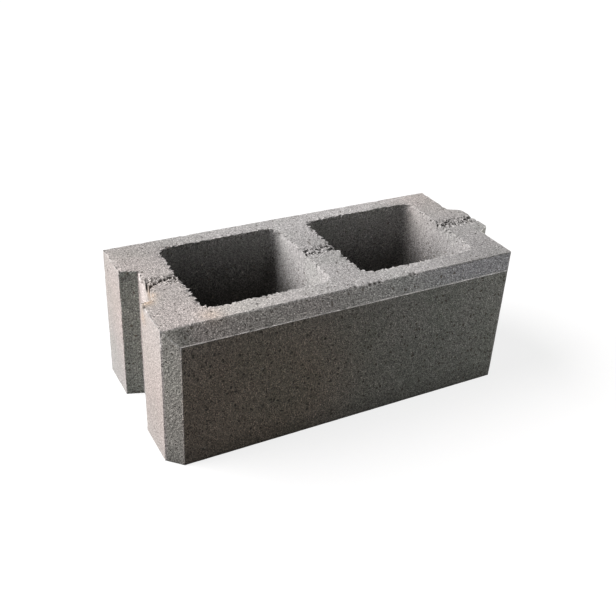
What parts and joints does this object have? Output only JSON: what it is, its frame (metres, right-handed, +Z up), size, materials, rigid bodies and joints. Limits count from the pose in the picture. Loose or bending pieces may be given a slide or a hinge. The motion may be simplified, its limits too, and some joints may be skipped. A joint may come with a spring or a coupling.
{
  "type": "concrete block",
  "caption": "Hollow concrete masonry block with tapered open cells, a chamfered fair face, and an upright groove and tongue on its ends.",
  "frame": {"origin": "on the bed face under the middle web, at the middle of the 400 mm laying module and halfway between the two wall faces", "axes": "+X along the wall towards the tongue, +Y from the chamfered fair face to the plain back face, +Z up from the bed"},
  "size_m": [0.415, 0.185, 0.15],
  "materials": {
    "concrete": "matt, fine sandy grain with small pores and rough cell rims"
  },
  "bodies": {
    "root": {"block": "concrete"}
  },
  "joints": []
}
